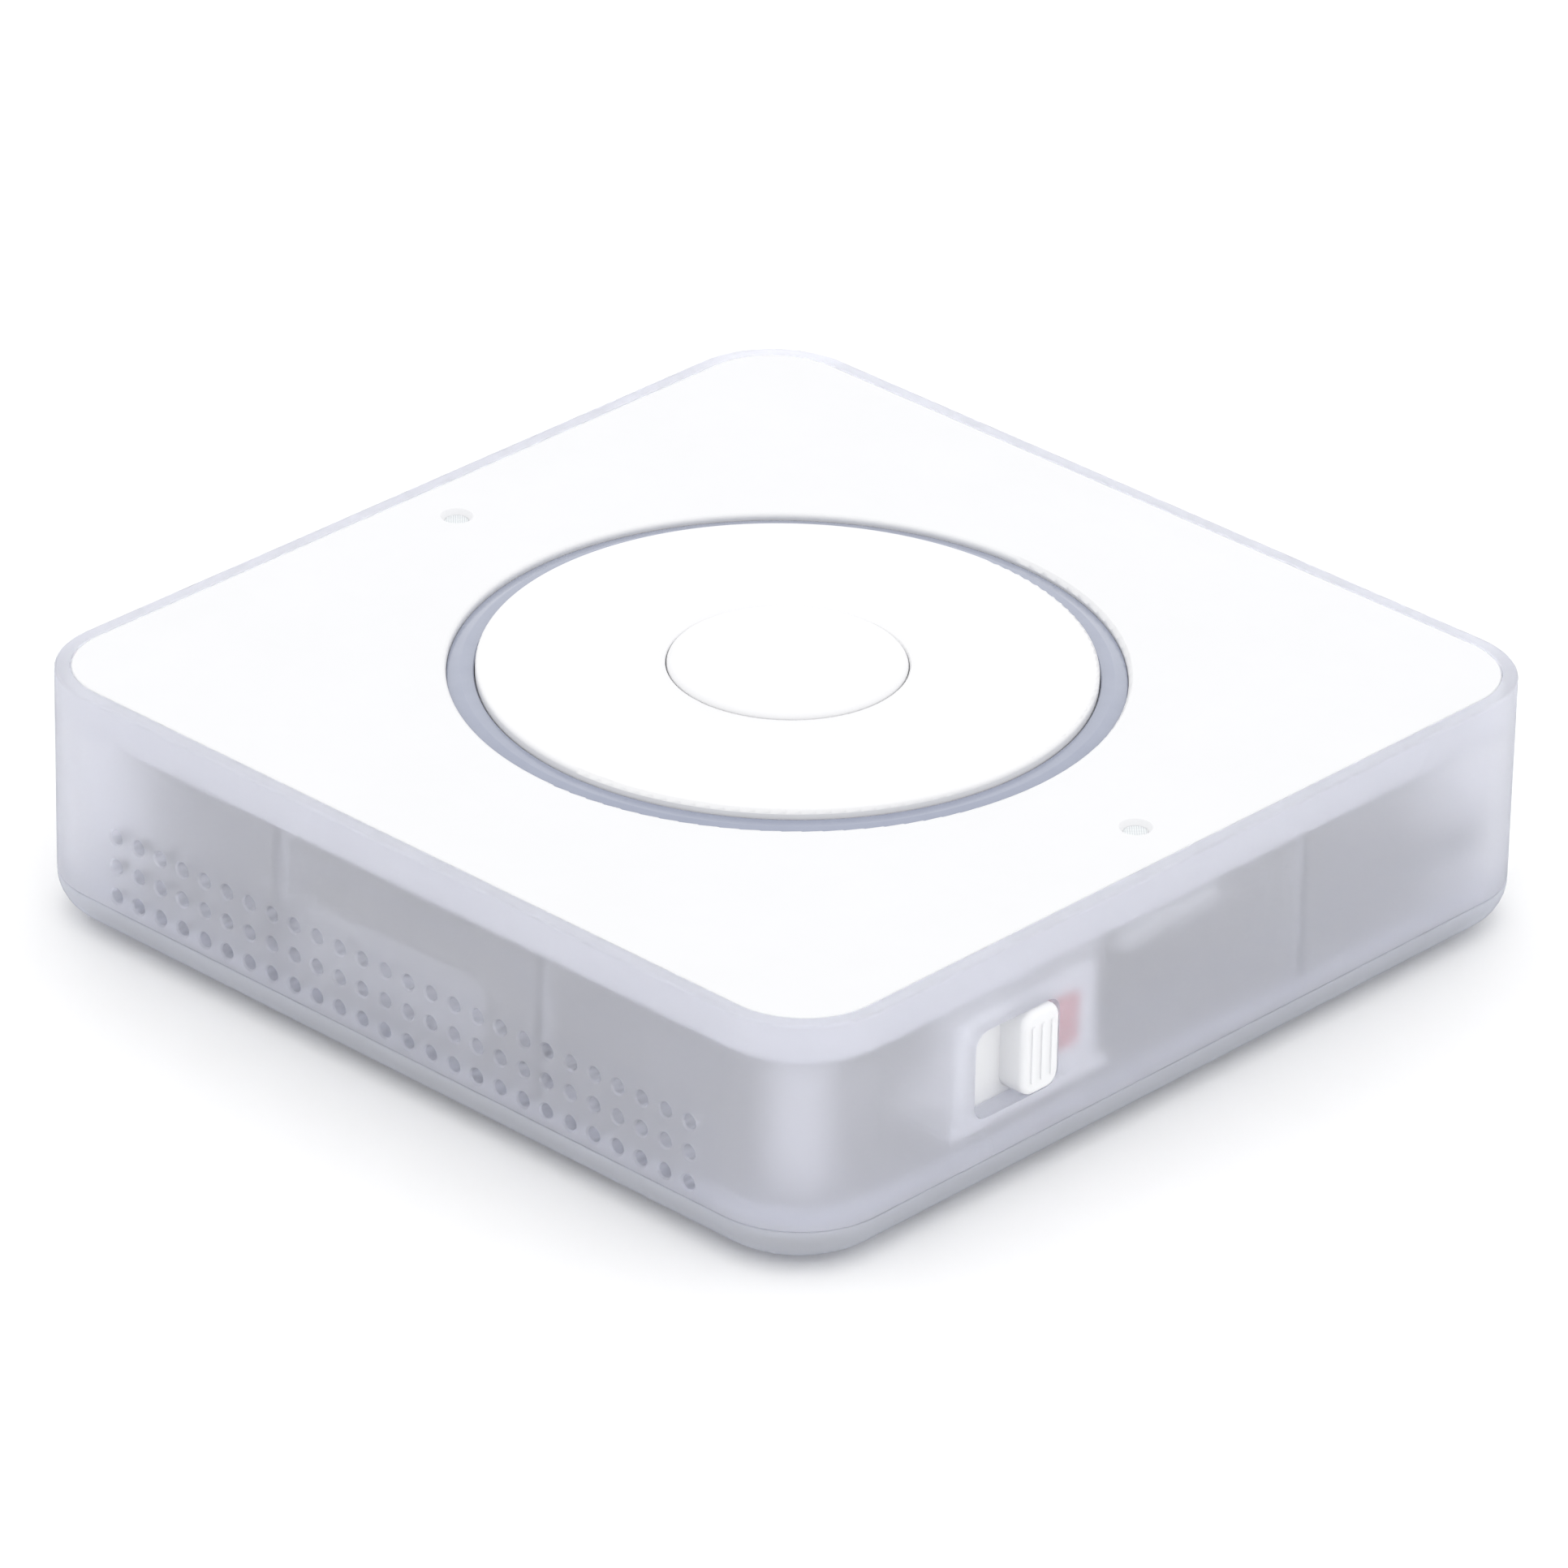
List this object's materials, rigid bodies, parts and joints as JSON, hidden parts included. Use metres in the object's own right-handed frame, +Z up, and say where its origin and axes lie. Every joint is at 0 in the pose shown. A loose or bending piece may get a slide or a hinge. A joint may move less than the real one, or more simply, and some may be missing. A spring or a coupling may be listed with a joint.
{
  "type": "desktop voice-assistant speaker",
  "caption": "Square frosted puck with a turning dial around a push button, a light ring, a side mute slide switch and a front grille of small holes.",
  "frame": {"origin": "on the table, under the middle of the case, at the underside of the feet", "axes": "+Z up through the dial; -Y is the grille side, +X the mute switch side, +Y the socket side"},
  "size_m": [0.0846, 0.084, 0.0217],
  "materials": {
    "frosted_shell": "frosted translucent polycarbonate",
    "white_cover": "fine satin white",
    "dial_plastic": "smooth satin white",
    "switch_plastic": "satin white",
    "ring_plastic": "polished smoke-blue diffuser",
    "red_plastic": "satin",
    "foot_rubber": "soft matte",
    "screw_steel": "zinc plated",
    "bearing_plastic": "natural low-friction plastic",
    "black_plastic": "moulded black",
    "board_laminate": "dark solder mask",
    "module_laminate": "dark solder mask",
    "lamp_plastic": "clear resin in a white body",
    "shield_metal": "tin plated",
    "grey_silicone": "soft",
    "pale_silicone": "soft",
    "chip_plastic": "moulded epoxy",
    "can_aluminium": "drawn can",
    "inductor_ceramic": "ferrite",
    "contact_brass": "gold plated",
    "surround_rubber": "soft",
    "cone_paper": "coated",
    "acoustic_mesh": "fine woven polyester",
    "pale_felt": "acoustic felt"
  },
  "bodies": {
    "case": {"outer_shell": "frosted_shell", "base_cover": "frosted_shell", "top_cover": "white_cover", "rubber_feet": "foot_rubber", "case_screws": "screw_steel", "encoder_body": "black_plastic", "button_guide": "bearing_plastic", "tact_switch_body": "black_plastic", "light_ring": "ring_plastic", "light_board": "board_laminate", "leds": "lamp_plastic", "light_board_screws": "screw_steel", "microphones": "shield_metal", "mic_gaskets": "grey_silicone", "mic_meshes": "acoustic_mesh", "mic_boots": "pale_silicone", "main_board": "board_laminate", "board_screws": "screw_steel", "radio_board": "module_laminate", "radio_shield": "shield_metal", "board_chips": "chip_plastic", "board_capacitors": "can_aluminium", "power_inductor": "inductor_ceramic", "board_link_socket": "black_plastic", "board_link_plug": "black_plastic", "usb_c_shell": "shield_metal", "usb_c_tongue": "black_plastic", "audio_jack_body": "black_plastic", "audio_jack_terminals": "contact_brass", "accessory_socket": "bearing_plastic", "accessory_pins": "contact_brass", "speaker_frame": "black_plastic", "speaker_surround": "surround_rubber", "speaker_cone": "cone_paper", "speaker_magnet": "shield_metal", "speaker_chamber": "black_plastic", "speaker_contacts": "contact_brass", "speaker_felt": "pale_felt", "slide_switch_body": "shield_metal", "switch_bracket": "switch_plastic"},
    "dial": {"dial": "dial_plastic", "encoder_rotor": "bearing_plastic"},
    "button": {"centre_button": "dial_plastic", "tact_switch_plunger": "bearing_plastic"},
    "mute_switch": {"mute_slider": "switch_plastic", "mute_indicator": "red_plastic", "slide_switch_lever": "black_plastic"}
  },
  "joints": [
    {"name": "dial_turn", "type": "hinge", "parent": "case", "child": "dial", "pos_m": [0, 0, 0.0214], "axis": [0, 0, 1], "continuous": true},
    {"name": "button_press", "type": "slide", "parent": "case", "child": "button", "axis": [0, 0, -1], "range_m": [0, 0.00035], "stiffness_N_per_m": 4000},
    {"name": "mute_slide", "type": "slide", "parent": "case", "child": "mute_switch", "axis": [0, -1, 0], "range_m": [0, 0.0045]}
  ]
}
